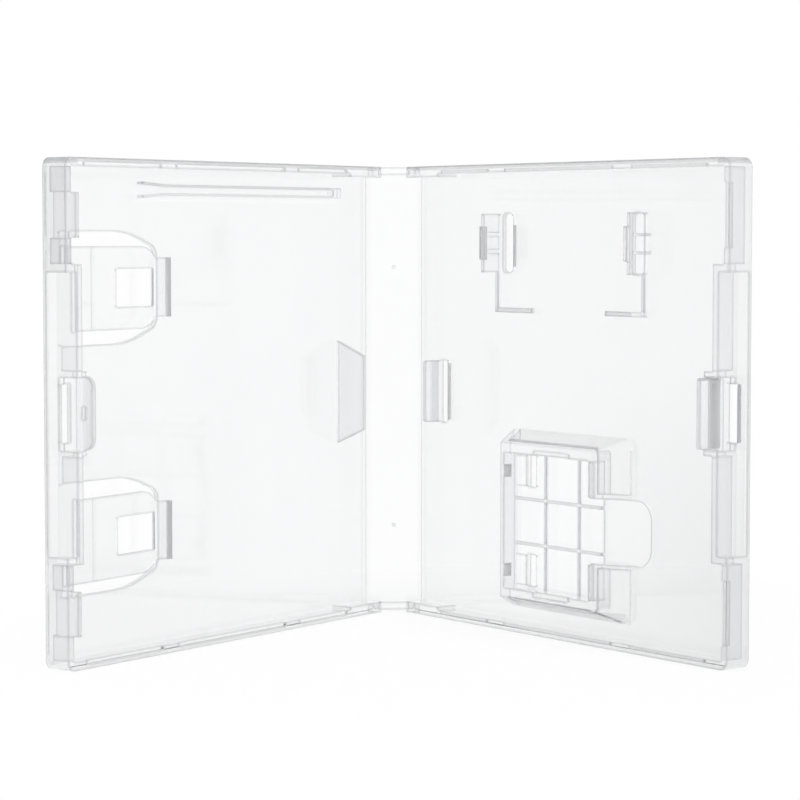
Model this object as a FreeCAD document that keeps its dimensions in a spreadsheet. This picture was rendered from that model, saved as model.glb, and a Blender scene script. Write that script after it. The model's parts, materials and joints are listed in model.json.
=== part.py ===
import FreeCAD, Part
import Sketcher
import math
import os

# Clear game card case, drawn standing open on its lower edge. Millimetres, Z up.
# The case is one moulding that bends at two thin hinges, so it is drawn as two covers
# and a spine. A clear film sleeve lies on the outside of all three.
# On every piece, u runs from the hinge axis to the free edge, v runs up and n runs from
# the outer face to the inside.

os.makedirs("parts", exist_ok=True)
doc = FreeCAD.newDocument("CardCase")
sheet = doc.addObject("Spreadsheet::Sheet", "Sizes")


class Size:
    # A length that keeps both its number and the formula that ties it to the sheet.
    def __init__(self, formula, value):
        self.formula = formula
        self.value = value

    def __add__(self, other):
        return Size(f"({self.formula} + {formulaOf(other)})", self.value + numberOf(other))

    def __sub__(self, other):
        return Size(f"({self.formula} - {formulaOf(other)})", self.value - numberOf(other))

    def __mul__(self, other):
        return Size(f"({self.formula} * {formulaOf(other)})", self.value * numberOf(other))

    def __truediv__(self, other):
        return Size(f"({self.formula} / {formulaOf(other)})", self.value / numberOf(other))

    def __neg__(self):
        return Size(f"(0 - {self.formula})", -self.value)


def formulaOf(item):
    return item.formula if isinstance(item, Size) else repr(float(item))


def numberOf(item):
    return item.value if isinstance(item, Size) else float(item)


sizes = {
    # The case as a whole, and how far the covers are folded from lying flat.
    "coverWidth": 134,
    "caseHeight": 125,
    "panelThick": 1.2,
    "rimDepth": 7.7,
    "closeGap": 0.3,
    "openAngle": 54.4,
    # Rim walls of both covers.
    "rimThick": 2.2,
    "sideThick": 2.0,
    "cornerRadius": 2.4,
    "wallStart": 2.7,
    "endBlockLength": 14.5,
    "endBlockThick": 0.8,
    # Thumb cut-out in the middle of the opening edge.
    "notchLength": 69.2,
    "notchDepth": 3.8,
    # Thin hinge: a round bead on the spine, and the bevelled edges beside it.
    "beadRadius": 0.45,
    "hingePlay": 0.1,
    "webHalf": 0.35,
    "bevelRun": 0.55,
    "beadInset": 0.6,
    "spineLipRise": 1.2,
    "spineLipInset": 1.8,
    "gateRadius": 0.55,
    "gateRise": 0.25,
    "gateFromBottom": 24,
    "gateFromTop": 28,
    # Clear film sleeve and the weld lines that hold it.
    "filmThick": 0.15,
    "filmGap": 0.15,
    "filmInset": 1.2,
    "filmHingeInset": 1.0,
    "weldWidth": 0.8,
    # Latch in the middle of the opening edge: a tab on the front, a catch and a pocket on the back.
    "tabLength": 18.4,
    "tabHeight": 7.5,
    "tabPlay": 0.8,
    "slotLevel": 4.0,
    "ridgeDrop": 0.9,
    "tabThick": 1.2,
    "tabCorner": 3.0,
    "slotRise": 1.0,
    "slotLength": 3.2,
    "latchWindowLength": 14.4,
    "catchReach": 2.3,
    "catchThick": 1.2,
    "catchInset": 1.8,
    "catchCorner": 0.8,
    "cheekThick": 1.2,
    "cheekLap": 0.3,
    "windowInset": 1.0,
    "catchLength": 17.6,
    "ridgeRise": 0.25,
    "ridgeSpan": 0.8,
    "ridgeMargin": 3.2,
    "pocketFloor": 0.6,
    # Fins beside the hinge that lie next to each other when the case is shut.
    "finStart": 14.0,
    "finThick": 1.0,
    "finBase": 28.6,
    "finTop": 20.4,
    "finReach": 2.8,
    "backFinStart": 8.8,
    "backFinBase": 17.2,
    "backFinHeight": 6.5,
    "backFinCorner": 0.8,
    "backFinWindow": 3.4,
    # Booklet clips on the front cover.
    "clipAbove": 30.5,
    "clipBelow": 31.3,
    "clipWindowPlay": 0.2,
    "clipWindowSpan": 28.0,
    "clipWindowEnd": 16.4,
    "clipWindowBend": 17.0,
    "clipWindowRadius": 32.5,
    "clipShoulderRun": 3.4,
    "clipShoulderSpan": 22.0,
    "clipShoulderRadius": 4.2,
    "tongueSpan": 20.8,
    "tongueThick": 1.0,
    "tongueSetDown": 2.1,
    "tongueFlat": 8.1,
    "tongueRun": 25.9,
    "tongueDrop": 1.5,
    "tongueCornerRun": 7.0,
    "tongueCornerDrop": 2.6,
    "tongueCornerRadius": 9.0,
    "tongueLipSpan": 15.0,
    "tongueLipRun": 3.6,
    "tongueLipRise": 2.0,
    "tongueHoleInset": 0.8,
    "tongueHoleLength": 15.4,
    "tongueHoleSpan": 9.4,
    "creaseHalf": 0.5,
    "creaseDepth": 0.3,
    # Narrow channel along the top of the front cover, closed towards the hinge and flared at its mouth.
    "channelStart": 15.8,
    "channelLength": 84.2,
    "channelFromTop": 7.5,
    "channelHalf": 1.45,
    "channelWall": 0.7,
    "channelRise": 2.2,
    "channelFlareRun": 9.0,
    "channelFlare": 0.6,
    "channelBlock": 3.6,
    # Alignment lugs on the front rim and the reliefs they drop into.
    "lugFromEnd": 14.0,
    "lugLength": 11.0,
    "lugThick": 1.2,
    "lugPlay": 0.3,
    "lugReach": 1.2,
    "reliefDepth": 0.5,
    "reliefMargin": 2.5,
    "reliefRise": 2.2,
    # Raised lip along the back rim, broken in two places, and the step it drops into.
    "lipStart": 19.4,
    "lipBreakNear": 40.1,
    "lipBreakFar": 91.3,
    "lipBreakLength": 7.2,
    "lipFromEdge": 7.5,
    "lipThick": 0.9,
    "lipHeight": 0.6,
    "lipSide": 0.15,
    "lipRoom": 0.4,
    # Rounding of the edge of the outer face.
    "edgeRound": 0.5,
    # Cartridge clips on the back cover.
    "bayStart": 37.2,
    "bayWidth": 58.7,
    "bayFromTop": 13.2,
    "bayClipLength": 15.8,
    "bayWall": 1.1,
    "bayHeight": 7.3,
    "bayNubLength": 8.9,
    "bayNubReach": 1.0,
    "bayNubRise": 1.2,
    "bayWindowWidth": 4.4,
    "bayWindowGap": 0.7,
    "bayWindowCorner": 1.4,
    "bayGussetRun": 1.6,
    "bayGussetRise": 5.0,
    "bayGussetThick": 0.8,
    "bayGussetPitch": 4.6,
    "bayRibRise": 1.2,
    "ledgeDrop": 10.8,
    "ledgeThick": 1.3,
    "ledgeLength": 15.5,
    "ledgeRise": 1.0,
    # Card holder on the back cover.
    "tubStart": 43.2,
    "tubWidth": 38.6,
    "tubLow": 8.6,
    "tubSpan": 41.8,
    "tubRise": 4.9,
    "tubLeft": 1.4,
    "tubRight": 1.2,
    "tubTop": 2.8,
    "tubBottom": 2.6,
    "rampTop": 3.5,
    "rampSide": 9.4,
    "rampBottom": 2.8,
    "rampCorner": 3.0,
    "tubCorner": 1.2,
    "hollowInset": 0.3,
    "fingerLow": 21.2,
    "fingerSpan": 16.8,
    "fingerCheek": 1.1,
    "dishRun": 7.6,
    "dishDepth": 0.4,
    "dishCorner": 5.0,
    "floorRibWidth": 0.9,
    "floorRibRise": 1.0,
    "floorRibNear": 13.8,
    "floorRibFar": 27.7,
    "crossLow": 12.0,
    "crossHigh": 24.1,
    "springLength": 8.4,
    "springReach": 4.4,
    "springRise": 0.5,
    "springSlot": 3.4,
    "springMargin": 0.6,
    "springNubLength": 3.2,
    "springNubReach": 1.4,
    "springNubRise": 1.3,
    "hookLength": 9.4,
    "hookReach": 1.4,
    "hookNose": 0.5,
    "hookRise": 1.6,
    "rimNotchStart": 14.0,
    "rimNotchLength": 14.2,
    "rimNotchDepth": 1.2,
    "rimNotchRise": 1.1,
}


class SizeTable:
    # Writes each size into the sheet under its own name.
    def __init__(self, sizes):
        for row, (name, value) in enumerate(sizes.items(), start=1):
            sheet.set(f"A{row}", name)
            sheet.set(f"B{row}", str(value))
            sheet.setAlias(f"B{row}", name)
            setattr(self, name, Size(f"Sizes.{name}", float(value)))


z = SizeTable(sizes)
doc.recompute()

# Levels and edges that several features share.
hingeLevel = z.beadRadius
spineWidth = z.rimDepth * 2 + z.closeGap
edgeStart = z.beadRadius + z.hingePlay
midHeight = z.caseHeight / 2
notchLow = midHeight - z.notchLength / 2
notchHigh = midHeight + z.notchLength / 2
notchFace = z.coverWidth - z.notchDepth
notchInside = notchFace - z.sideThick
sideInside = z.coverWidth - z.sideThick
roles = {"face": "XZ_Plane", "plan": "XY_Plane", "side": "YZ_Plane"}


class Moulding:
    # One PartDesign body. A hand of -1 draws it to the left of its hinge axis.
    def __init__(self, name, hand):
        self.body = doc.addObject("PartDesign::Body", name)
        self.body.Label = name
        self.hand = hand
        self.count = 0

    def place(self, point, angle):
        for axis, value in zip("xy", point):
            self.body.setExpression(f"Placement.Base.{axis}", formulaOf(value))
        self.body.Placement.Rotation = FreeCAD.Rotation(FreeCAD.Vector(0, 0, 1), 0)
        self.body.setExpression("Placement.Rotation.Angle", formulaOf(angle))

    def toSketch(self, view, first, second):
        # Turns (u, v), (u, n) or (n, v) into the two directions of the sketch.
        if view == "face":
            return (first if self.hand > 0 else -first), second
        if view == "plan":
            return (first if self.hand > 0 else -first), hingeLevel - second
        return hingeLevel - first, second

    def sketch(self, name, view, start, length, loops):
        planes = {item.Role: item for item in self.body.Origin.OriginFeatures}
        sketch = self.body.newObject("Sketcher::SketchObject", name)
        sketch.AttachmentSupport = [(planes[roles[view]], "")]
        sketch.MapMode = "FlatFace"
        offset = start
        if view == "face":
            offset = start - hingeLevel
        if view == "side" and self.hand < 0:
            offset = -(start + length)
        sketch.AttachmentOffset = FreeCAD.Placement(
            FreeCAD.Vector(0, 0, numberOf(offset)), FreeCAD.Rotation())
        sketch.setExpression("AttachmentOffset.Base.z", formulaOf(offset))
        for loop in loops:
            self.drawLoop(sketch, view, loop)
        return sketch

    def drawLoop(self, sketch, view, loop):
        # A loop is a list of (a, b) corners, or (a, b, radius) where an arc leads to the
        # next corner. A positive radius bends to the left. A single entry is a whole circle.
        corners = [self.toSketch(view, item[0], item[1]) for item in loop]
        spots = [FreeCAD.Vector(numberOf(a), numberOf(b), 0) for a, b in corners]
        if len(loop) == 1:
            radius = loop[0][2]
            number = sketch.addGeometry(Part.Circle(spots[0], FreeCAD.Vector(0, 0, 1), radius.value))
            self.bind(sketch, "Radius", (number, radius.value), radius)
            self.bind(sketch, "DistanceX", (-1, 1, number, 3, spots[0].x), corners[0][0])
            self.bind(sketch, "DistanceY", (-1, 1, number, 3, spots[0].y), corners[0][1])
            return
        mirrored = view == "side" or (view == "face" and self.hand < 0) or (view == "plan" and self.hand > 0)
        pieces = []
        for index, item in enumerate(loop):
            here = spots[index]
            there = spots[(index + 1) % len(loop)]
            if len(item) == 2:
                pieces.append((sketch.addGeometry(Part.LineSegment(here, there)), 1, 2))
                continue
            radius = abs(numberOf(item[2]))
            turnsLeft = (numberOf(item[2]) > 0) != mirrored
            chord = there - here
            leftWard = FreeCAD.Vector(-chord.y, chord.x, 0)
            leftWard.normalize()
            away = math.sqrt(max(radius ** 2 - (chord.Length / 2) ** 2, 0.0))
            centre = (here + there) * 0.5 + leftWard * (away if turnsLeft else -away)
            first, last = (here, there) if turnsLeft else (there, here)
            angles = [math.atan2(spot.y - centre.y, spot.x - centre.x) for spot in (first, last)]
            circle = Part.Circle(centre, FreeCAD.Vector(0, 0, 1), radius)
            number = sketch.addGeometry(Part.ArcOfCircle(circle, angles[0], angles[1]))
            pieces.append((number, 1, 2) if turnsLeft else (number, 2, 1))
            self.bind(sketch, "Radius", (number, radius), item[2] if numberOf(item[2]) > 0 else -item[2])
        for index, (number, head, tail) in enumerate(pieces):
            following = pieces[(index + 1) % len(pieces)]
            sketch.addConstraint(Sketcher.Constraint("Coincident", number, tail, following[0], following[1]))
        for (number, head, tail), (first, second), spot in zip(pieces, corners, spots):
            self.bind(sketch, "DistanceX", (-1, 1, number, head, spot.x), first)
            self.bind(sketch, "DistanceY", (-1, 1, number, head, spot.y), second)

    def bind(self, sketch, kind, values, size):
        number = sketch.addConstraint(Sketcher.Constraint(kind, *values))
        if isinstance(size, Size):
            self.count += 1
            sketch.renameConstraint(number, f"size{self.count}")
            sketch.setExpression(f"Constraints.size{self.count}", size.formula)

    def extrude(self, kind, name, view, start, end, loops):
        length = end - start
        feature = self.body.newObject(f"PartDesign::{kind}", name)
        feature.Profile = self.sketch(name + "Sketch", view, start, length, loops)
        feature.Length = numberOf(length)
        feature.setExpression("Length", formulaOf(length))
        feature.Reversed = kind == "Pocket"

    def pad(self, name, view, start, end, *loops):
        self.extrude("Pad", name, view, start, end, loops)

    def cut(self, name, view, start, end, *loops):
        self.extrude("Pocket", name, view, start, end, loops)

    def roundOuterEdge(self):
        # Finds the edges round the outer face, apart from the hinge side, and rounds them.
        doc.recompute()
        solid = self.body.Tip
        near = z.edgeRound.value / 10
        names = []
        for index, edge in enumerate(solid.Shape.Edges):
            bounds = edge.BoundBox
            onOuterFace = min(bounds.YMin, bounds.YMax) > hingeLevel.value - near
            reach = max(abs(bounds.XMin), abs(bounds.XMax))
            onHingeSide = reach < z.wallStart.value / 2
            onRim = (reach > z.coverWidth.value - near or bounds.ZMax < near
                     or bounds.ZMin > z.caseHeight.value - near)
            if onOuterFace and onRim and not onHingeSide:
                names.append(f"Edge{index + 1}")
        feature = self.body.newObject("PartDesign::Fillet", "OuterRound")
        feature.Base = (solid, names)
        feature.Radius = z.edgeRound.value
        feature.setExpression("Radius", z.edgeRound.formula)

    def loft(self, kind, name, levels, loops):
        sketches = []
        for index, (level, loop) in enumerate(zip(levels, loops)):
            sketches.append(self.sketch(f"{name}Sketch{index}", "face", level, level, [loop]))
        feature = self.body.newObject(f"PartDesign::{kind}", name)
        feature.Profile = sketches[0]
        feature.Sections = sketches[1:]
        feature.Ruled = True


def box(a0, b0, a1, b1):
    return [(a0, b0), (a1, b0), (a1, b1), (a0, b1)]


def roundedBox(a0, b0, a1, b1, r):
    return [(a0 + r, b0), (a1 - r, b0, r), (a1, b0 + r), (a1, b1 - r, r),
            (a1 - r, b1), (a0 + r, b1, r), (a0, b1 - r), (a0, b0 + r, r)]


def circle(a, b, r):
    return [(a, b, r)]


def coverOutline(start, low, end, high, r):
    # An outline with the two corners furthest from the hinge rounded.
    return [(start, low), (end - r, low, r), (end, low + r), (end, high - r, r), (end - r, high), (start, high)]


zero = z.panelThick - z.panelThick


def coverShell(cover):
    # Panel, rim wall on three sides with the thumb cut-out, and the bevel beside the hinge.
    cover.pad("Panel", "face", zero, z.panelThick,
              coverOutline(edgeStart, zero, z.coverWidth, z.caseHeight, z.cornerRadius))
    r = z.cornerRadius
    inner = z.cornerRadius - z.sideThick
    w = z.coverWidth
    top = z.caseHeight
    rim = [(z.wallStart, zero), (w - r, zero, r), (w, r), (w, notchLow), (notchFace, notchLow),
           (notchFace, notchHigh), (w, notchHigh), (w, top - r, r), (w - r, top), (z.wallStart, top),
           (z.wallStart, top - z.rimThick), (sideInside - inner, top - z.rimThick, -inner),
           (sideInside, top - z.rimThick - inner), (sideInside, notchHigh + z.sideThick),
           (notchInside, notchHigh + z.sideThick), (notchInside, notchLow - z.sideThick),
           (sideInside, notchLow - z.sideThick), (sideInside, z.rimThick + inner, -inner),
           (sideInside - inner, z.rimThick), (z.wallStart, z.rimThick)]
    cover.pad("Rim", "face", zero, z.rimDepth, rim)
    blockEnd = z.wallStart + z.endBlockLength
    blockThick = z.rimThick + z.endBlockThick
    cover.pad("EndBlocks", "face", zero, z.rimDepth,
              box(z.wallStart, zero, blockEnd, blockThick),
              box(z.wallStart, top - blockThick, blockEnd, top))
    cover.roundOuterEdge()
    bevelFoot = hingeLevel + z.webHalf - z.hingePlay
    cover.cut("HingeBevel", "plan", zero, z.caseHeight,
              [(zero, bevelFoot), (edgeStart, bevelFoot), (edgeStart + z.bevelRun, z.panelThick),
               (zero, z.panelThick)])


def filmFor(name, hand):
    # The part of the sleeve that lies on one cover, welded along the bottom and the outer edge.
    film = Moulding(name, hand)
    low = z.filmInset
    end = z.coverWidth - z.filmInset
    high = z.caseHeight - z.filmInset
    r = z.cornerRadius - z.filmInset
    film.pad("Sheet", "face", zero - z.filmGap - z.filmThick, zero - z.filmGap,
             coverOutline(z.filmHingeInset, low, end, high, r))
    inner = r - z.weldWidth
    film.pad("Weld", "face", zero - z.filmGap, zero,
             [(z.filmHingeInset, low), (end - r, low, r), (end, low + r), (end, high - r),
              (end - z.weldWidth, high - r), (end - z.weldWidth, low + r, -inner),
              (end - r, low + z.weldWidth), (z.filmHingeInset, low + z.weldWidth)])
    return film


# Back cover: stands in the XZ plane with its inside towards -Y.
back = Moulding("back_cover", 1)
coverShell(back)

# Latch of the back cover: the wall gives way to a catch that is set in, with a cheek at each end.
tabLow = midHeight - z.tabLength / 2
tabHigh = midHeight + z.tabLength / 2
catchEnd = notchInside - z.catchInset
catchStart = catchEnd - z.catchThick
catchLow = midHeight - z.catchLength / 2
catchHigh = midHeight + z.catchLength / 2
catchTop = z.rimDepth + z.catchReach
sill = z.panelThick + z.pocketFloor
windowLow = midHeight - z.latchWindowLength / 2
windowHigh = midHeight + z.latchWindowLength / 2
back.cut("LatchGap", "face", sill, z.rimDepth, box(notchInside, tabLow, notchFace, tabHigh))
cc = z.catchCorner
back.pad("Catch", "side", catchStart, catchEnd,
         [(zero, catchLow), (catchTop - cc, catchLow, cc), (catchTop, catchLow + cc),
          (catchTop, catchHigh - cc, cc), (catchTop - cc, catchHigh), (zero, catchHigh)])
back.pad("CatchCheeks", "face", zero, z.rimDepth,
         box(catchStart, tabLow - z.cheekThick, notchFace, tabLow + z.cheekLap),
         box(catchStart, tabHigh - z.cheekLap, notchFace, tabHigh + z.cheekThick))
back.pad("CatchFeet", "face", zero, z.rimDepth / 2,
         box(catchStart, tabLow - z.cheekThick, catchEnd, tabHigh + z.cheekThick))
catchRidge = catchTop - z.ridgeDrop
back.pad("CatchRidge", "plan", catchLow + z.ridgeMargin, catchHigh - z.ridgeMargin,
         [(catchStart, catchRidge), (catchStart, catchRidge + z.ridgeSpan),
          (catchStart - z.ridgeRise, catchRidge + z.ridgeSpan / 2),
          (catchStart - z.ridgeRise, catchRidge + z.ridgeSpan / 3)])
back.cut("LatchWindow", "face", zero, sill, box(catchEnd, windowLow, notchFace, windowHigh))

# Fin beside the hinge of the back cover, and the window beside it.
backFinEnd = z.backFinStart + z.finThick
backFinLow = midHeight - z.backFinBase / 2
backFinHigh = midHeight + z.backFinBase / 2
backFinTop = z.backFinHeight
rr = z.backFinCorner
back.pad("HingeFin", "side", z.backFinStart, backFinEnd,
         [(zero, backFinLow), (backFinTop - rr, backFinLow, rr), (backFinTop, backFinLow + rr),
          (backFinTop, backFinHigh - rr, rr), (backFinTop - rr, backFinHigh), (zero, backFinHigh)])
back.cut("FinWindow", "face", zero, z.panelThick,
         roundedBox(backFinEnd, backFinLow, backFinEnd + z.backFinWindow, backFinHigh, rr))

# Cartridge bay: two clip walls with nubs, gussets, a window below each nub, and ledges.
bayHigh = z.caseHeight - z.bayFromTop
bayLow = bayHigh - z.bayClipLength
ledgeLevel = bayLow - z.ledgeDrop
bayEnd = z.bayStart + z.bayWidth
leftWall = z.bayStart - z.bayWall
rightWall = bayEnd + z.bayWall
nubLow = bayLow + (z.bayClipLength - z.bayNubLength) / 2
back.pad("BayWalls", "face", zero, z.bayHeight,
         box(leftWall, bayLow, z.bayStart, bayHigh), box(bayEnd, bayLow, rightWall, bayHigh))
nubFoot = z.bayHeight - z.bayNubRise
nubTop = z.bayHeight + z.bayNubRise * 2 / 3
back.pad("BayNubs", "plan", nubLow, nubLow + z.bayNubLength,
         [(leftWall, nubFoot), (z.bayStart, nubFoot),
          (z.bayStart + z.bayNubReach, z.bayHeight - z.bayNubRise / 4),
          (z.bayStart + z.bayNubReach / 2, nubTop), (leftWall + z.bayNubReach / 4, nubTop)],
         [(rightWall, nubFoot), (rightWall - z.bayNubReach / 4, nubTop), (bayEnd - z.bayNubReach / 2, nubTop),
          (bayEnd - z.bayNubReach, z.bayHeight - z.bayNubRise / 4), (bayEnd, nubFoot)])
gussetTop = z.panelThick + z.bayGussetRise
gussetMid = bayLow + z.bayClipLength / 2
for label, side in (("Low", gussetMid - z.bayGussetPitch / 2), ("High", gussetMid + z.bayGussetPitch / 2)):
    back.pad("BayGussets" + label, "plan", side - z.bayGussetThick / 2, side + z.bayGussetThick / 2,
             [(leftWall, zero), (leftWall, gussetTop), (leftWall - z.bayGussetRun, zero)],
             [(rightWall, zero), (rightWall + z.bayGussetRun, zero), (rightWall, gussetTop)])
back.cut("BayWindows", "face", zero, z.panelThick,
         roundedBox(z.bayStart + z.bayWindowGap, bayLow, z.bayStart + z.bayWindowGap + z.bayWindowWidth,
                    bayHigh, z.bayWindowCorner),
         roundedBox(bayEnd - z.bayWindowGap - z.bayWindowWidth, bayLow, bayEnd - z.bayWindowGap,
                    bayHigh, z.bayWindowCorner))
back.pad("BayRibs", "face", zero, z.panelThick + z.bayRibRise,
         box(leftWall, ledgeLevel, z.bayStart, bayLow), box(bayEnd, ledgeLevel, rightWall, bayLow))
ledgeTop = ledgeLevel + z.ledgeThick
back.pad("BayLedges", "face", zero, z.panelThick + z.ledgeRise,
         box(leftWall, ledgeLevel, leftWall + z.ledgeLength, ledgeTop),
         box(rightWall - z.ledgeLength, ledgeLevel, rightWall, ledgeTop))

# Card holder: ramps hollow from behind round a tub that takes the card.
rimLevel = z.panelThick + z.tubRise
tubEnd = z.tubStart + z.tubWidth
tubHigh = z.tubLow + z.tubSpan
rampEnd = tubEnd + z.rampSide
base = coverOutline(z.tubStart, z.tubLow - z.rampBottom, rampEnd, tubHigh + z.rampTop, z.rampCorner)
raised = coverOutline(z.tubStart, z.tubLow, tubEnd, tubHigh, z.tubCorner)
back.loft("AdditiveLoft", "HolderRamps", (z.panelThick, rimLevel), (base, raised))
hi = z.hollowInset
hollowStart = z.tubStart + z.tubLeft
hollowBase = coverOutline(hollowStart, z.tubLow - z.rampBottom + hi, rampEnd - hi, tubHigh + z.rampTop - hi,
                          z.rampCorner - hi)
hollowTop = coverOutline(hollowStart, z.tubLow + hi, tubEnd - hi, tubHigh - hi, z.tubCorner - hi)
back.loft("SubtractiveLoft", "HolderHollow", (zero, rimLevel - z.panelThick), (hollowBase, hollowTop))
back.pad("HolderTub", "face", zero, rimLevel, raised)
cheekLow = z.fingerLow - z.fingerCheek
cheekHigh = z.fingerLow + z.fingerSpan
wedge = [(tubEnd, zero), (rampEnd, zero), (rampEnd, z.panelThick), (tubEnd, rimLevel)]
back.pad("FingerCheekLow", "plan", cheekLow, z.fingerLow, wedge)
back.pad("FingerCheekHigh", "plan", cheekHigh, cheekHigh + z.fingerCheek, wedge)
back.pad("FingerFloor", "face", zero, z.panelThick, box(tubEnd, cheekLow, rampEnd, cheekHigh + z.fingerCheek))
cardStart = z.tubStart + z.tubLeft
cardEnd = tubEnd - z.tubRight
cardLow = z.tubLow + z.tubBottom
cardHigh = tubHigh - z.tubTop
back.cut("CardPocket", "face", z.panelThick, rimLevel, box(cardStart, cardLow, cardEnd, cardHigh))
back.cut("FingerGap", "face", z.panelThick, rimLevel, box(cardEnd, z.fingerLow, rampEnd, cheekHigh))
dishEnd = rampEnd + z.dishRun
dc = z.dishCorner
back.cut("FingerDish", "face", z.panelThick - z.dishDepth, z.panelThick,
         [(cardEnd, z.fingerLow), (dishEnd - dc, z.fingerLow, dc), (dishEnd, z.fingerLow + dc),
          (dishEnd, cheekHigh - dc, dc), (dishEnd - dc, cheekHigh), (cardEnd, cheekHigh)])
half = z.floorRibWidth / 2
nearRib = z.tubStart + z.floorRibNear
farRib = z.tubStart + z.floorRibFar
back.pad("FloorRibs", "face", z.panelThick, z.panelThick + z.floorRibRise,
         box(nearRib, cardLow, nearRib + z.floorRibWidth, cardHigh),
         box(farRib, cardLow, farRib + z.floorRibWidth, cardHigh))
lowCross = cardLow + z.crossLow
highCross = cardLow + z.crossHigh
back.pad("CrossRibs", "face", z.panelThick, z.panelThick + z.floorRibRise,
         box(cardStart, lowCross - half, cardEnd, lowCross + half),
         box(cardStart, highCross - half, cardEnd, highCross + half))
# Spring leaves along the left wall, each with a slot beside it and a nub over the card edge.
springEnd = cardStart + z.springReach
for label, low in (("Low", cardLow + z.springMargin), ("High", cardHigh - z.springMargin - z.springLength)):
    high = low + z.springLength
    back.pad("Spring" + label, "face", z.panelThick, z.panelThick + z.springRise,
             box(cardStart, low, springEnd, high))
    back.cut("SpringSlot" + label, "face", zero, rimLevel,
             box(springEnd, low, springEnd + z.springSlot, high))
    nub = low + z.springLength / 2
    back.pad("SpringNub" + label, "plan", nub - z.springNubLength / 2, nub + z.springNubLength / 2,
             [(cardStart, rimLevel - z.springNubRise * 2),
              (cardStart + z.springNubReach, rimLevel - z.springNubRise),
              (cardStart + z.springNubReach, rimLevel - z.springNubRise / 2), (cardStart, rimLevel)])
# Hooks along the right wall.
for label, low in (("Low", cardLow), ("High", cardHigh - z.hookLength)):
    back.pad("Hook" + label, "plan", low, low + z.hookLength,
             [(cardEnd, rimLevel), (cardEnd - z.hookReach, rimLevel - z.hookNose),
              (cardEnd - z.hookReach, rimLevel - z.hookNose * 2), (cardEnd, rimLevel - z.hookRise)])
rimNotch = z.tubStart + z.rimNotchStart
back.cut("RimNotches", "face", rimLevel - z.rimNotchRise, rimLevel,
         box(rimNotch, cardHigh, rimNotch + z.rimNotchLength, cardHigh + z.rimNotchDepth),
         box(rimNotch, cardLow - z.rimNotchDepth, rimNotch + z.rimNotchLength, cardLow))

# Reliefs in the back rim for the lugs of the front cover.
reliefHalf = z.lugLength / 2 + z.reliefMargin
lugHigh = z.caseHeight - z.lugFromEnd
lugLow = z.lugFromEnd
back.cut("SideReliefs", "face", z.rimDepth - z.reliefRise, z.rimDepth,
         box(sideInside, lugHigh - reliefHalf, sideInside + z.reliefDepth, lugHigh + reliefHalf),
         box(sideInside, lugLow - reliefHalf, sideInside + z.reliefDepth, lugLow + reliefHalf))
# Lip along the inner half of the back rim, top and bottom.
rimTop = z.caseHeight - z.rimThick
lipRuns = (("Near", z.lipStart, z.lipBreakNear),
           ("Middle", z.lipBreakNear + z.lipBreakLength, z.lipBreakFar),
           ("Far", z.lipBreakFar + z.lipBreakLength, z.coverWidth - z.lipFromEdge))
for label, start, end in lipRuns:
    back.pad("RimLip" + label, "face", z.rimDepth, z.rimDepth + z.lipHeight,
             box(start, z.rimThick - z.lipThick, end, z.rimThick),
             box(start, rimTop, end, rimTop + z.lipThick))

# Front cover: mirrored to the back, folded round the spine.
front = Moulding("front_cover", -1)
coverShell(front)

# Latch tab of the front cover, set in behind the catch, with its cheeks, ridge, slot and window.
tabEnd = catchStart - z.tabPlay
tabStart = tabEnd - z.tabThick
tabTop = z.tabHeight
tabRidge = tabTop - z.ridgeDrop
tc = z.tabCorner
front.cut("LatchGap", "face", sill, z.rimDepth, box(notchInside, tabLow, notchFace, tabHigh))
front.pad("Tab", "side", tabStart, tabEnd,
          [(zero, tabLow), (tabTop - tc, tabLow, tc), (tabTop, tabLow + tc),
           (tabTop, tabHigh - tc, tc), (tabTop - tc, tabHigh), (zero, tabHigh)])
cheekTop = tabTop - tc
for label, low, high in (("Low", tabLow - z.cheekThick, tabLow + z.cheekLap),
                         ("High", tabHigh - z.cheekLap, tabHigh + z.cheekThick)):
    front.pad("TabCheek" + label, "plan", low, high,
              [(tabStart, zero), (notchFace, zero), (notchFace, z.rimDepth), (notchInside, z.rimDepth),
               (tabStart, cheekTop)])
front.pad("TabRidge", "plan", tabLow + z.ridgeMargin, tabHigh - z.ridgeMargin,
          [(tabEnd, tabRidge), (tabEnd + z.ridgeRise, tabRidge + z.ridgeSpan / 2),
           (tabEnd + z.ridgeRise, tabRidge + z.ridgeSpan * 2 / 3), (tabEnd, tabRidge + z.ridgeSpan)])
front.cut("TabSlot", "side", tabStart, tabEnd,
          box(z.slotLevel, midHeight - z.slotLength / 2,
              z.slotLevel + z.slotRise, midHeight + z.slotLength / 2))
front.cut("LatchWindow", "face", zero, sill,
          box(tabEnd + z.windowInset, windowLow, notchFace - z.windowInset, windowHigh))

# Fin beside the hinge of the front cover.
finLow = midHeight - z.finBase / 2
finHigh = midHeight + z.finBase / 2
finSlope = (z.finBase - z.finTop) / 2
finCrest = z.rimDepth + z.finReach
front.pad("HingeFin", "side", z.finStart, z.finStart + z.finThick,
          [(zero, finLow), (z.panelThick, finLow), (finCrest, finLow + finSlope),
           (finCrest, finHigh - finSlope), (z.panelThick, finHigh), (zero, finHigh)])

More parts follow.
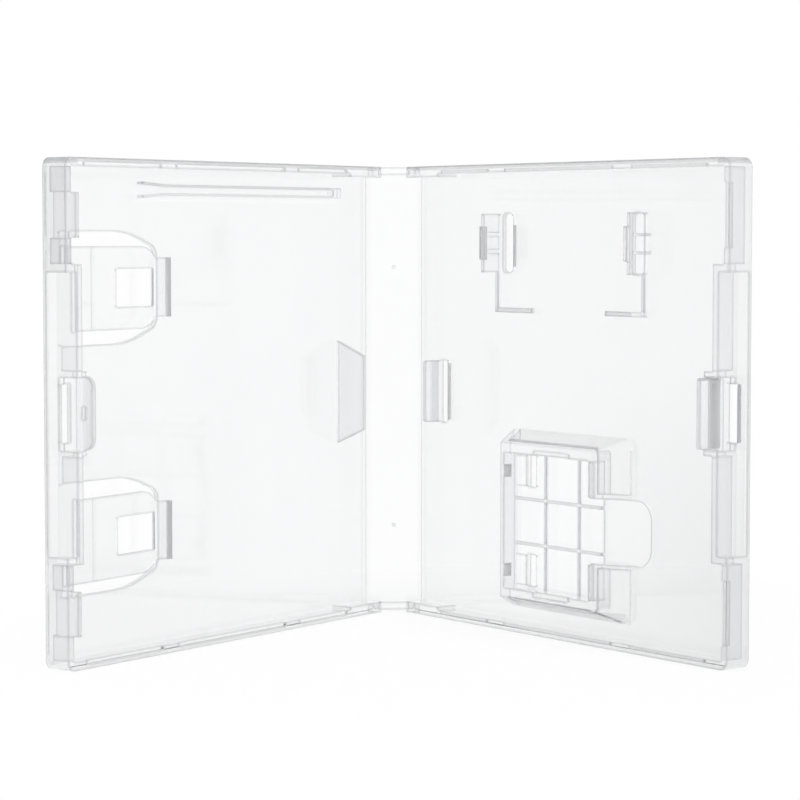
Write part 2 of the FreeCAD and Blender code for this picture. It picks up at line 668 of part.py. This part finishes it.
# Booklet clips: a window in the panel and a tongue over it, rooted on the opening edge.
tongueRoot = z.rimDepth - z.tongueSetDown
tongueBend = notchFace - z.tongueFlat
tongueTip = tongueBend - z.tongueRun
holeStart = tongueTip + z.tongueHoleInset
under = tongueRoot - z.tongueThick
tip = under - z.tongueDrop
windowStart = tongueTip - z.tongueLipRun - z.clipWindowPlay
endHalf = z.clipWindowEnd / 2
spanHalf = z.clipWindowSpan / 2
tongueHalf = z.tongueSpan / 2
bend = windowStart + z.clipWindowBend
shoulder = windowStart + z.clipShoulderRun
shoulderHalf = z.clipShoulderSpan / 2
for label, middle, side in (("High", midHeight + z.clipAbove, 1), ("Low", midHeight - z.clipBelow, -1)):
    front.cut("ClipWindow" + label, "face", zero, z.panelThick,
              [(windowStart, middle + endHalf), (windowStart, middle - endHalf, z.clipShoulderRadius),
               (shoulder, middle - shoulderHalf, z.clipWindowRadius), (bend, middle - spanHalf),
               (notchInside, middle - spanHalf), (notchInside, middle + spanHalf),
               (bend, middle + spanHalf, z.clipWindowRadius),
               (shoulder, middle + shoulderHalf, z.clipShoulderRadius)])
    front.pad("Tongue" + label, "plan", middle - tongueHalf, middle + tongueHalf,
              [(notchFace, under), (notchFace, tongueRoot), (tongueBend, tongueRoot),
               (tongueTip, tip + z.tongueThick), (tongueTip, tip), (tongueBend, under)])
    front.cut("TongueCrease" + label, "plan", middle - tongueHalf, middle + tongueHalf,
              [(tongueBend - z.creaseHalf, tongueRoot), (tongueBend, tongueRoot - z.creaseDepth),
               (tongueBend + z.creaseHalf, tongueRoot)])
    # Beyond the thumb cut-out the wall stands further out, so the root runs on to meet it.
    outer = middle + tongueHalf * side
    step = notchHigh if side > 0 else notchLow
    front.pad("TongueRoot" + label, "face", under, tongueRoot,
              box(notchInside, step, sideInside + z.lugPlay, outer) if side > 0
              else box(notchInside, outer, sideInside + z.lugPlay, step))
    cornerEnd = tongueTip + z.tongueCornerRun
    front.cut("TongueCorners" + label, "face", tip, tongueRoot,
              [(tongueTip, middle + tongueHalf - z.tongueCornerDrop, -z.tongueCornerRadius),
               (cornerEnd, middle + tongueHalf), (tongueTip, middle + tongueHalf)],
              [(tongueTip, middle - tongueHalf), (cornerEnd, middle - tongueHalf, -z.tongueCornerRadius),
               (tongueTip, middle - tongueHalf + z.tongueCornerDrop)])
    front.pad("TongueLip" + label, "plan", middle - z.tongueLipSpan / 2, middle + z.tongueLipSpan / 2,
              [(tongueTip, tip), (tongueTip, tip + z.tongueThick),
               (tongueTip - z.tongueLipRun, tip + z.tongueThick + z.tongueLipRise),
               (tongueTip - z.tongueLipRun, tip + z.tongueLipRise)])
    front.cut("TongueHole" + label, "face", tip, tongueRoot,
              box(holeStart, middle - z.tongueHoleSpan / 2,
                  holeStart + z.tongueHoleLength, middle + z.tongueHoleSpan / 2))

# Channel along the top of the front cover.
channelEnd = z.channelStart + z.channelLength
flareStart = channelEnd - z.channelFlareRun
blockEnd = z.channelStart + z.channelBlock
channelLevel = z.caseHeight - z.channelFromTop
high = channelLevel + z.channelHalf
low = channelLevel - z.channelHalf
wall = z.channelWall
front.pad("Channel", "face", zero, z.panelThick + z.channelRise,
          [(z.channelStart + wall, low), (flareStart, low), (channelEnd, low - z.channelFlare),
           (channelEnd, low - z.channelFlare + wall), (flareStart, low + wall), (blockEnd, low + wall),
           (blockEnd, high - wall), (flareStart, high - wall), (channelEnd, high + z.channelFlare - wall),
           (channelEnd, high + z.channelFlare), (flareStart, high), (z.channelStart + wall, high, wall),
           (z.channelStart, high - wall), (z.channelStart, low + wall, wall)])

# Lugs that stand above the front rim and drop inside the back rim.
lugFace = sideInside - z.lugPlay
lugTop = z.rimDepth + z.lugReach
lugHalf = z.lugLength / 2
front.pad("SideLugs", "face", zero, lugTop,
          box(lugFace - z.lugThick, lugHigh - lugHalf, lugFace, lugHigh + lugHalf),
          box(lugFace - z.lugThick, lugLow - lugHalf, lugFace, lugLow + lugHalf))
front.pad("SideLugFeet", "face", zero, z.rimDepth,
          box(lugFace - z.lugThick, lugHigh - lugHalf, sideInside + z.lugPlay, lugHigh + lugHalf),
          box(lugFace - z.lugThick, lugLow - lugHalf, sideInside + z.lugPlay, lugLow + lugHalf))
for label, start, end in lipRuns:
    stepStart = start - z.lipRoom
    stepEnd = end + z.lipRoom
    stepThick = z.lipThick + z.lipSide
    front.cut("RimStep" + label, "face", z.rimDepth - z.lipHeight - z.lipRoom, z.rimDepth,
              box(stepStart, z.rimThick - stepThick, stepEnd, z.rimThick),
              box(stepStart, rimTop, stepEnd, rimTop + stepThick))

# Spine: a plate that thins to a bead along both hinges, with a low lip at top and bottom.
spine = Moulding("spine", -1)
w = spineWidth
webLow = hingeLevel - z.webHalf
webHigh = hingeLevel + z.webHalf
spine.pad("Plate", "plan", zero, z.caseHeight,
          [(zero, webLow), (z.bevelRun, zero), (w - z.bevelRun, zero), (w, webLow), (w, webHigh),
           (w - z.bevelRun * 2, z.panelThick), (z.bevelRun * 2, z.panelThick), (zero, webHigh)])
spine.pad("BeadNear", "plan", z.beadInset, z.caseHeight - z.beadInset, circle(zero, hingeLevel, z.beadRadius))
spine.pad("BeadFar", "plan", z.beadInset, z.caseHeight - z.beadInset, circle(w, hingeLevel, z.beadRadius))
spine.pad("Lips", "face", zero, z.panelThick + z.spineLipRise,
          box(z.spineLipInset, zero, w - z.spineLipInset, z.rimThick),
          box(z.spineLipInset, z.caseHeight - z.rimThick, w - z.spineLipInset, z.caseHeight))
spine.pad("GateMarks", "face", z.panelThick, z.panelThick + z.gateRise,
          circle(w / 2, z.gateFromBottom, z.gateRadius),
          circle(w / 2, z.caseHeight - z.gateFromTop, z.gateRadius))

# The clear sleeve, one sheet on each piece.
backFilm = filmFor("back_sleeve", 1)
frontFilm = filmFor("front_sleeve", -1)
spineFilm = Moulding("spine_sleeve", -1)
spineFilm.pad("Sheet", "face", zero - z.filmGap - z.filmThick, zero - z.filmGap,
              box(z.filmHingeInset, z.filmInset, w - z.filmHingeInset, z.caseHeight - z.filmInset))
spineFilm.pad("Weld", "face", zero - z.filmGap, zero,
              box(z.filmHingeInset, z.filmInset, w - z.filmHingeInset, z.filmInset + z.weldWidth))

# Everything stands on z = 0 with the middle of the back cover's lower edge at the origin.
hingeX = -(z.coverWidth / 2)
hingeY = z.rimDepth / 2 - hingeLevel
turn = Size("cos(Sizes.openAngle)", math.cos(math.radians(z.openAngle.value)))
rise = Size("sin(Sizes.openAngle)", math.sin(math.radians(z.openAngle.value)))
backHinge = (hingeX, hingeY)
frontHinge = (hingeX - spineWidth * turn, hingeY - spineWidth * rise)
flat = z.openAngle - z.openAngle
for piece, point, angle in ((back, backHinge, flat), (backFilm, backHinge, flat),
                            (spine, backHinge, z.openAngle), (spineFilm, backHinge, z.openAngle),
                            (front, frontHinge, z.openAngle * 2), (frontFilm, frontHinge, z.openAngle * 2)):
    piece.place(point, angle)
doc.recompute()

for item in doc.Objects:
    if {"Invalid", "Error"} & set(item.State):
        raise ValueError(f"{item.Name} did not build: {item.State}")
for piece in (back, front, spine, backFilm, frontFilm, spineFilm):
    before = 0.0
    for item in piece.body.Group:
        if item.isDerivedFrom("PartDesign::Feature"):
            change = item.Shape.Volume - before
            before = item.Shape.Volume
            takesAway = any(word in item.TypeId for word in ("Pocket", "Subtractive", "Fillet"))
            wanted = -1 if takesAway else 1
            if change * wanted <= 0:
                raise ValueError(f"{piece.body.Label}: {item.Name} changes nothing ({change:.3f})")
    shape = piece.body.Shape
    if shape.isNull() or not shape.isValid() or len(shape.Solids) != 1:
        raise ValueError(f"{piece.body.Label} is not one valid solid: {len(shape.Solids)}")
    shape.exportStep(f"parts/{piece.body.Label}.step")
    print(piece.body.Label, round(shape.Volume, 1), shape.BoundBox)
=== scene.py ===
import json
import math
import bpy
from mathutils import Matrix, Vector


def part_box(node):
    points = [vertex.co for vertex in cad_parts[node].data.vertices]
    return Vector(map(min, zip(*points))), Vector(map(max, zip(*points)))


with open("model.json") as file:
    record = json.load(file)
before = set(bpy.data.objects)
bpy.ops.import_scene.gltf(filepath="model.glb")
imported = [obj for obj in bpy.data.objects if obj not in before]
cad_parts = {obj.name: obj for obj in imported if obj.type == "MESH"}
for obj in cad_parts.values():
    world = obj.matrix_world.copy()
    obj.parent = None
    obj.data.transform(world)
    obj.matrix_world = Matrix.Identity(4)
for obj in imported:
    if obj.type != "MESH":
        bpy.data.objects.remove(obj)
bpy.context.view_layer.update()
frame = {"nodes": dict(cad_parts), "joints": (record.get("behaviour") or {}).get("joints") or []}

scene = bpy.context.scene
scene.view_settings.view_transform = "Standard"
print("case loaded:", ", ".join(sorted(frame["nodes"])))

white = (1, 1, 1, 1)
millimetre = 0.001
noiseLow, noiseHigh = 0.3, 0.7  # nearly all of a noise value lies between these


class Value:
    # One output of a shader node. Arithmetic on it adds Math nodes.
    def __init__(self, look, socket):
        self.look = look
        self.socket = socket

    def __add__(self, other):
        return self.look.math("ADD", self, other)

    def __radd__(self, other):
        return self.look.math("ADD", other, self)

    def __sub__(self, other):
        return self.look.math("SUBTRACT", self, other)

    def __rsub__(self, other):
        return self.look.math("SUBTRACT", other, self)

    def __mul__(self, other):
        return self.look.math("MULTIPLY", self, other)

    def __rmul__(self, other):
        return self.look.math("MULTIPLY", other, self)


class Node:
    # A shader node whose outputs are reached by name or number.
    def __init__(self, look, node):
        self.look = look
        self.node = node

    def __getitem__(self, name):
        return Value(self.look, self.node.outputs[name])


class Look:
    # A node tree that is being filled, for a material or for the world.
    def __init__(self, owner):
        owner.use_nodes = True
        self.owner = owner
        self.tree = owner.node_tree
        self.tree.nodes.clear()

    def node(self, kind, settings=None, sockets=None):
        made = self.tree.nodes.new(kind)
        for name, value in (settings or {}).items():
            setattr(made, name, value)
        for name, value in (sockets or {}).items():
            if isinstance(value, Value):
                self.tree.links.new(value.socket, made.inputs[name])
            else:
                made.inputs[name].default_value = value
        return Node(self, made)

    def math(self, operation, first, second=0.0):
        return self.node("ShaderNodeMath", {"operation": operation}, {0: first, 1: second})["Value"]

    def noise(self, place, scale, detail):
        return self.node("ShaderNodeTexNoise", {}, {"Vector": place, "Scale": scale, "Detail": detail})["Fac"]

    def fromTo(self, value, start, end, low, high):
        # Goes from low to high while the value goes from start to end, and no further.
        return self.node("ShaderNodeMapRange", {}, {
            "Value": value, "From Min": start, "From Max": end, "To Min": low, "To Max": high})["Result"]

    def spread(self, noise, low, high):
        return self.fromTo(noise, noiseLow, noiseHigh, low, high)

    def rise(self, value, start, run):
        return self.fromTo(value, start, start + run, 0.0, 1.0)

    def tint(self, value, first, second):
        return self.node("ShaderNodeMix", {"data_type": "RGBA"}, {0: value, 6: first, 7: second})[2]

    def vectorMath(self, operation, first, second=(0, 0, 0)):
        return self.node("ShaderNodeVectorMath", {"operation": operation}, {0: first, 1: second})

    def dot(self, vector, direction):
        return self.vectorMath("DOT_PRODUCT", vector, direction)["Value"]

    def inBox(self, place, low, high, blur):
        # 1 inside a box, 0 outside it, with soft faces.
        middle = [(a + b) / 2 for a, b in zip(low, high)]
        half = [(b - a) / 2 for a, b in zip(low, high)]
        fromMiddle = self.vectorMath("SUBTRACT", place, middle)["Vector"]
        away = self.vectorMath("ABSOLUTE", fromMiddle)["Vector"]
        over = self.node("ShaderNodeSeparateXYZ", {}, {0: self.vectorMath("SUBTRACT", away, half)["Vector"]})
        return 1.0 - self.rise(self.most(over["X"], over["Y"], over["Z"]), -blur, blur)

    def most(self, first, *others):
        for other in others:
            first = self.math("MAXIMUM", first, other)
        return first

    def clamp(self, value):
        return self.node("ShaderNodeClamp", {}, {"Value": value})["Result"]

    def relief(self, height, strength, distance):
        return self.node("ShaderNodeBump", {}, {
            "Height": height, "Strength": strength, "Distance": distance})["Normal"]

    def mixShader(self, share, first, second):
        return self.node("ShaderNodeMixShader", {}, {0: share, 1: first, 2: second})["Shader"]


def newMaterial(name):
    return Look(bpy.data.materials.new(name))


def dress(piece, material):
    piece.data.materials.clear()
    piece.data.materials.append(material)


# Clear polypropylene: the panels are polished and what stands inside the outer rim is nearly clear. Faces
# that stand square to a panel are greyed with painted shade, the outer rim most, for the grey that walls seen
# edge on show. Lengths in metres.
casePlastic = {
    "tintLow": (0.972, 0.974, 0.980, 1),
    "tintHigh": (0.990, 0.991, 0.995, 1),
    "roughLow": 0.04,
    "roughHigh": 0.09,
    "cloudSize": 38,  # slow change of tint and polish over a panel
    "cloudDetail": 1,
    "frostSize": 900,  # fine grain left by the mould
    "frostDetail": 0,
    "frostDepth": 0.04,
    "frostRise": 0.0002,
    "edgeReach": 0.00075,  # how far from an edge its painted grey line of shade begins
    "edgeRays": 2,
    "edgeHaze": 1.25,
    "bend": 1.15,
    "gloss": 0.7,
    "glossBend": 1.45,
    "hazeColour": (0.70, 0.705, 0.715, 1),
    "hazePassed": 0.6,  # share of the light on the grey haze and painted shade that goes through it
    "slantHaze": 0.087,  # painted shade on faces that neither lie in the panel nor stand square to it
    "wornStart": 0.045,  # from the hinge, where a panel begins to turn hazier
    "wornRun": 0.09,
    "lowTop": 0.075,  # height below which its foot turns hazier still
    "lowRun": 0.055,
    # painted shade on faces that stand square to a panel: ribs inside, the outer rim more
    "ribHaze": 0.026,
    "rimHaze": 0.125,
    "rimStart": 0.128,
    "rimHeight": 0.0026,
    "rimBlur": 0.0006,
    "markBlur": 0.0002,
    "hingeLevel": 0.00045,  # from the outer face in to the hinge's axis
    "height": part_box("spine")[1].z,
}
# A mark is a place with painted shade, greyer or clearer than the rest, for the stripes and lines that
# refraction and inner reflection draw in the moulding; in millimetres: a range from the hinge, a range of
# height, a range inwards from the outer face, and how much. These are on both covers.
coverEdgeShade = {
    "topEdge": ((0.0, 134.5), (123.9, 125.5), (-0.5, 8.5), 0.24),
    "topCorner": ((129.5, 134.6), (123.4, 125.6), (-0.6, 8.6), 0.46),
}
# Each piece of the case: the hinge that it hangs on, how many folds it is turned from the back cover, which
# way it runs from its hinge, and how hazy its panel is all over, towards its far side, and there towards its
# foot. Then its marks of painted shade.
casePieces = {
    "back_cover": {
        "hinge": "back_hinge", "folds": 0, "hand": 1, "panel": 0.030, "far": 0.026, "foot": 0.095,
        "marks": {
            "catchRoot": ((125.0, 126.7), (53.9, 71.1), (3.2, 6.6), 0.65),
            "catchTop": ((124.9, 126.7), (70.5, 71.7), (3.0, 10.6), 0.45),
            "catchSill": ((129.9, 130.7), (55.3, 69.7), (-0.2, 2.0), 1.0),
            "bayNub": ((36.0, 38.6), (99.4, 108.4), (6.0, 8.3), 0.43),
            "bayWindowEdge": ((42.0, 42.7), (97.4, 108.8), (-0.3, 1.5), 0.75),
            "ledgeNear": ((36.0, 51.8), (85.0, 86.7), (1.9, 2.5), 0.3),
            "ledgeFar": ((81.3, 92.0), (85.0, 86.7), (1.9, 2.5), 0.3),
            "springNubLow": ((44.5, 46.3), (14.2, 17.8), (3.2, 6.3), 0.7),
            "springNubHigh": ((44.5, 46.3), (41.0, 44.6), (3.2, 6.3), 0.7),
            "tubWall": ((44.3, 44.9), (11.2, 47.6), (1.3, 6.0), 0.087),
            "tubFloor": ((45.2, 80.2), (11.6, 47.2), (-0.4, 1.9), -0.05),
            "dish": ((80.8, 98.6), (21.4, 37.8), (-0.4, 1.6), -0.03),
            "hookLow": ((79.0, 80.8), (11.2, 20.6), (4.4, 6.2), 0.26),
            "hookHigh": ((79.0, 80.8), (38.2, 47.6), (4.4, 6.2), 0.26),
            "rampFootLow": ((90.7, 91.5), (8.0, 20.1), (0.9, 1.8), 0.26),
            "rampFootHigh": ((90.7, 91.5), (39.1, 51.0), (0.9, 1.8), 0.26),
            "finPlate": ((8.6, 10.0), (53.9, 71.1), (1.6, 4.3), 0.17),
            "rampBelow": ((43.0, 91.4), (5.7, 8.7), (0.8, 6.2), 0.13),
            "finWindow": ((13.0, 13.8), (54.5, 70.5), (-0.2, 1.3), 0.7),
            **coverEdgeShade,
        },
    },
    "spine": {
        "hinge": "back_hinge", "folds": 1, "hand": -1, "panel": 0.0, "far": 0.0, "foot": 0.0,
        "marks": {},
    },
    "front_cover": {
        "hinge": "front_hinge", "folds": 2, "hand": -1, "panel": 0.026, "far": 0.0, "foot": 0.045,
        "marks": {
            "channelWall": ((15.0, 101.0), (114.6, 116.8), (1.0, 3.8), -0.3),
            "fin": ((13.8, 15.2), (48.0, 77.0), (2.0, 10.2), 0.06),
            "tab": ((123.0, 124.6), (53.2, 71.8), (4.2, 7.6), 0.12),
            "holeEndLow": ((95.8, 97.3), (26.0, 36.4), (2.8, 4.6), -1.0),
            "holeEndHigh": ((95.8, 97.3), (87.8, 98.2), (2.8, 4.6), -1.0),
            "lipLow": ((92.3, 93.4), (23.5, 38.9), (4.6, 6.4), 0.9),
            "lipHigh": ((92.3, 93.4), (85.3, 100.7), (4.6, 6.4), 0.75),
            "wallTop": ((131.5, 134.3), (97.0, 125.4), (-0.3, 8.0), 0.12),
            **coverEdgeShade,
        },
    },
}
hinges = {joint["name"]: joint for joint in frame["joints"]}


def spotOn(look, p, piece):
    # A point's place on its piece: from the hinge, up, inwards, and 1 where its face lies in the panel.
    coords = look.node("ShaderNodeTexCoord")
    hinge = hinges[piece["hinge"]]
    pivot = Vector(hinge["pos_m"])
    fold = -min(hinge["range_deg"])  # from lying flat to the pose at rest
    turn = math.radians(fold * piece["folds"])
    along = Vector((math.cos(turn), math.sin(turn), 0)) * piece["hand"]
    inward = Vector((math.sin(turn), -math.cos(turn), 0))
    fromHinge = look.dot(coords["Object"], along) - along.dot(pivot)
    height = look.dot(coords["Object"], (0, 0, 1))
    depth = look.dot(coords["Object"], inward) - (inward.dot(pivot) - p["hingeLevel"])
    flat = look.math("ABSOLUTE", look.dot(coords["Normal"], inward))
    return fromHinge, height, depth, flat


def hazeAndShadeOn(look, p, piece):
    fromHinge, height, depth, flat = spotOn(look, p, piece)
    # Painted shade: standing faces greyed, the outer rim most, for the grey that walls seen edge on show.
    onRim = look.most(look.rise(fromHinge, p["rimStart"], p["rimBlur"]),
                      look.rise(p["rimHeight"] - height, 0, p["rimBlur"]),
                      look.rise(height, p["height"] - p["rimHeight"], p["rimBlur"]))
    standing = p["ribHaze"] + onRim * (p["rimHaze"] - p["ribHaze"])
    far = look.rise(fromHinge, p["wornStart"], p["wornRun"])
    foot = look.rise(p["lowTop"] - height, 0, p["lowRun"])
    lying = piece["panel"] + far * (piece["far"] + foot * piece["foot"])
    slant = flat * (1.0 - flat) * 4  # 1 where a face stands half way
    # Painted shade: an ambient occlusion mask greys edges and thin ribs, for the dark lines that refraction
    # draws there.
    thick = look.node("ShaderNodeAmbientOcclusion",
                      {"inside": True, "only_local": True, "samples": p["edgeRays"]},
                      {"Distance": p["edgeReach"]})["AO"]
    amount = standing + flat * (lying - standing) + slant * slant * p["slantHaze"]
    amount = amount + (1.0 - thick) * p["edgeHaze"]
    spot = look.node("ShaderNodeCombineXYZ", {}, {"X": fromHinge, "Y": height, "Z": depth})["Vector"]
    # Marks of painted shade add grey, and the clearer ones take it away.
    for *ranges, more in piece["marks"].values():
        low, high = [[end * millimetre for end in ends] for ends in zip(*ranges)]
        amount = amount + look.inBox(spot, low, high, p["markBlur"]) * more
    return look.clamp(amount)


def clearPlastic(name, p, piece):
    look = newMaterial(name)
    place = look.node("ShaderNodeTexCoord")["Object"]
    cloud = look.noise(place, p["cloudSize"], p["cloudDetail"])
    grain = look.relief(look.noise(place, p["frostSize"], p["frostDetail"]), p["frostDepth"], p["frostRise"])
    clear = look.node("ShaderNodeBsdfPrincipled", {}, {
        "Base Color": look.tint(cloud, p["tintLow"], p["tintHigh"]),
        "Roughness": look.spread(cloud, p["roughLow"], p["roughHigh"]),
        "IOR": p["bend"], "Transmission Weight": 1.0,
        "Coat Weight": p["gloss"], "Coat IOR": p["glossBend"], "Coat Roughness": p["roughLow"],
        "Normal": grain})["BSDF"]
    # This grey layer gives the plastic's faint haze and all its painted shade.
    bounced = look.node("ShaderNodeBsdfDiffuse", {}, {"Color": p["hazeColour"], "Normal": grain})["BSDF"]
    passed = look.node("ShaderNodeBsdfTranslucent", {}, {"Color": p["hazeColour"], "Normal": grain})["BSDF"]
    hazeAndShade = look.mixShader(p["hazePassed"], bounced, passed)
    body = look.mixShader(hazeAndShadeOn(look, p, piece), clear, hazeAndShade)
    look.node("ShaderNodeOutputMaterial", {}, {"Surface": body})
    return look.owner


for name, piece in casePieces.items():
    solid = frame["nodes"][name]
    dress(solid, clearPlastic("plastic_" + name, casePlastic, piece))
print("case moulding dressed")

# The outer sleeve: thin glossy film with slow waves in it.
sleeveFilm = {
    "tintLow": (0.90, 0.91, 0.93, 1),
    "tintHigh": (0.97, 0.98, 0.98, 1),
    "roughLow": 0.03,
    "roughHigh": 0.09,
    "waveSize": 22,
    "waveDetail": 1,
    "waveDepth": 0.3,
    "waveRise": 0.002,
    "bend": 0.2,
    "shineLow": 0.005,
    "shineHigh": 0.02,
    "slantShine": 0.2,  # more of it where the film is seen at a slant
}


def filmSheet(name, p):
    look = newMaterial(name)
    place = look.node("ShaderNodeTexCoord")["Object"]
    wave = look.noise(place, p["waveSize"], p["waveDetail"])
    waves = look.relief(wave, p["waveDepth"], p["waveRise"])
    slant = look.node("ShaderNodeLayerWeight", {}, {"Blend": p["bend"], "Normal": waves})["Facing"]
    shine = look.node("ShaderNodeBsdfPrincipled", {}, {
        "Base Color": look.tint(wave, p["tintLow"], p["tintHigh"]),
        "Roughness": look.spread(wave, p["roughLow"], p["roughHigh"]),
        "Metallic": 1.0, "Normal": waves})["BSDF"]
    through = look.node("ShaderNodeBsdfTransparent", {}, {"Color": white})["BSDF"]
    share = look.spread(wave, p["shineLow"], p["shineHigh"]) + slant * p["slantShine"]
    look.node("ShaderNodeOutputMaterial", {}, {"Surface": look.mixShader(share, through, shine)})
    return look.owner


filmLook = filmSheet("sleeveFilm", sleeveFilm)
for name in ("back_sleeve", "front_sleeve", "spine_sleeve"):
    piece = frame["nodes"][name]
    dress(piece, filmLook)
print("sleeve dressed")

# White table top. What the camera sees of it is white, with a part of the real shading left near the case for
# its shadow.
tableTop = {
    "half": 4.0,
    "drop": 0.0002,
    "colour": (0.9, 0.9, 0.9, 1),
    "shade": 0.14,
    "shadeStart": 0.09,
    "shadeRun": 0.07,
}


def seenDirectly(look):
    path = look.node("ShaderNodeLightPath")
    return look.clamp(path["Is Camera Ray"] + path["Is Glossy Ray"] + path["Is Transmission Ray"])


def makeTable(p):
    half = p["half"]
    corners = [(-half, -half, 0), (half, -half, 0), (half, half, 0), (-half, half, 0)]
    mesh = bpy.data.meshes.new("tableTop")
    mesh.from_pydata(corners, [], [(0, 1, 2, 3)])
    table = bpy.data.objects.new("tableTop", mesh)
    scene.collection.objects.link(table)
    table.location.z = -p["drop"]
    look = newMaterial("tableTop")
    paint = look.node("ShaderNodeBsdfDiffuse", {}, {"Color": p["colour"]})["BSDF"]
    plain = look.node("ShaderNodeEmission", {}, {"Color": white, "Strength": 1.0})["Emission"]
    away = look.vectorMath("LENGTH", look.node("ShaderNodeTexCoord")["Object"])["Value"]
    share = (1.0 - p["shade"]) + look.rise(away, p["shadeStart"], p["shadeRun"]) * p["shade"]
    mixed = look.mixShader(seenDirectly(look) * share, paint, plain)
    look.node("ShaderNodeOutputMaterial", {}, {"Surface": mixed})
    table.data.materials.append(look.owner)


makeTable(tableTop)
print("table made")

# White room: the camera sees white, the light is softer.
room = {
    "light": 0.6,
    "seen": 1.0,
}


def makeRoom(p):
    world = bpy.data.worlds.new("room")
    scene.world = world
    look = Look(world)
    soft = look.node("ShaderNodeBackground", {}, {"Color": white, "Strength": p["light"]})["Background"]
    bright = look.node("ShaderNodeBackground", {}, {"Color": white, "Strength": p["seen"]})["Background"]
    shown = look.mixShader(seenDirectly(look), soft, bright)
    look.node("ShaderNodeOutputWorld", {}, {"Surface": shown})


makeRoom(room)

# One large soft box above the table.
softBox = {
    "place": (0.55, -0.10, 0.90),
    "aim": (0.0, -0.03, 0.05),
    "size": 0.6,
    "power": 6.0,
}


def makeLamp(name, p):
    data = bpy.data.lights.new(name, "AREA")
    data.shape = "SQUARE"
    data.size = p["size"]
    data.energy = p["power"]
    lamp = bpy.data.objects.new(name, data)
    scene.collection.objects.link(lamp)
    lamp.location = p["place"]
    lamp.rotation_euler = (Vector(p["aim"]) - Vector(p["place"])).to_track_quat("-Z", "Y").to_euler()


makeLamp("softBox", softBox)
print("light set")

# Camera from the fit to the photograph: metres and degrees, lens and sensor in millimetres.
view = {
    "place": (0.55635, -0.46159, 0.10704),
    "azimuth": 53.725,
    "tilt": 3.505,
    "lens": 123.91,
    "sensor": 36.0,
    "near": 0.01,
    "far": 50,
}


def makeCamera(p):
    data = bpy.data.cameras.new("view")
    data.lens = p["lens"]
    data.sensor_width = p["sensor"]
    data.clip_start = p["near"]
    data.clip_end = p["far"]
    camera = bpy.data.objects.new("view", data)
    scene.collection.objects.link(camera)
    turn = math.radians(p["azimuth"])
    tilt = math.radians(p["tilt"])
    aim = Vector((-math.sin(turn) * math.cos(tilt), math.cos(turn) * math.cos(tilt), -math.sin(tilt)))
    camera.location = p["place"]
    camera.rotation_euler = aim.to_track_quat("-Z", "Y").to_euler()
    scene.camera = camera


makeCamera(view)
print("camera set")

# Light passes many clear walls and films one behind the other.
lightPaths = {
    "walls": 18,
    "films": 32,
}
scene.cycles.max_bounces = lightPaths["walls"]
scene.cycles.transmission_bounces = lightPaths["walls"]
scene.cycles.transparent_max_bounces = lightPaths["films"]
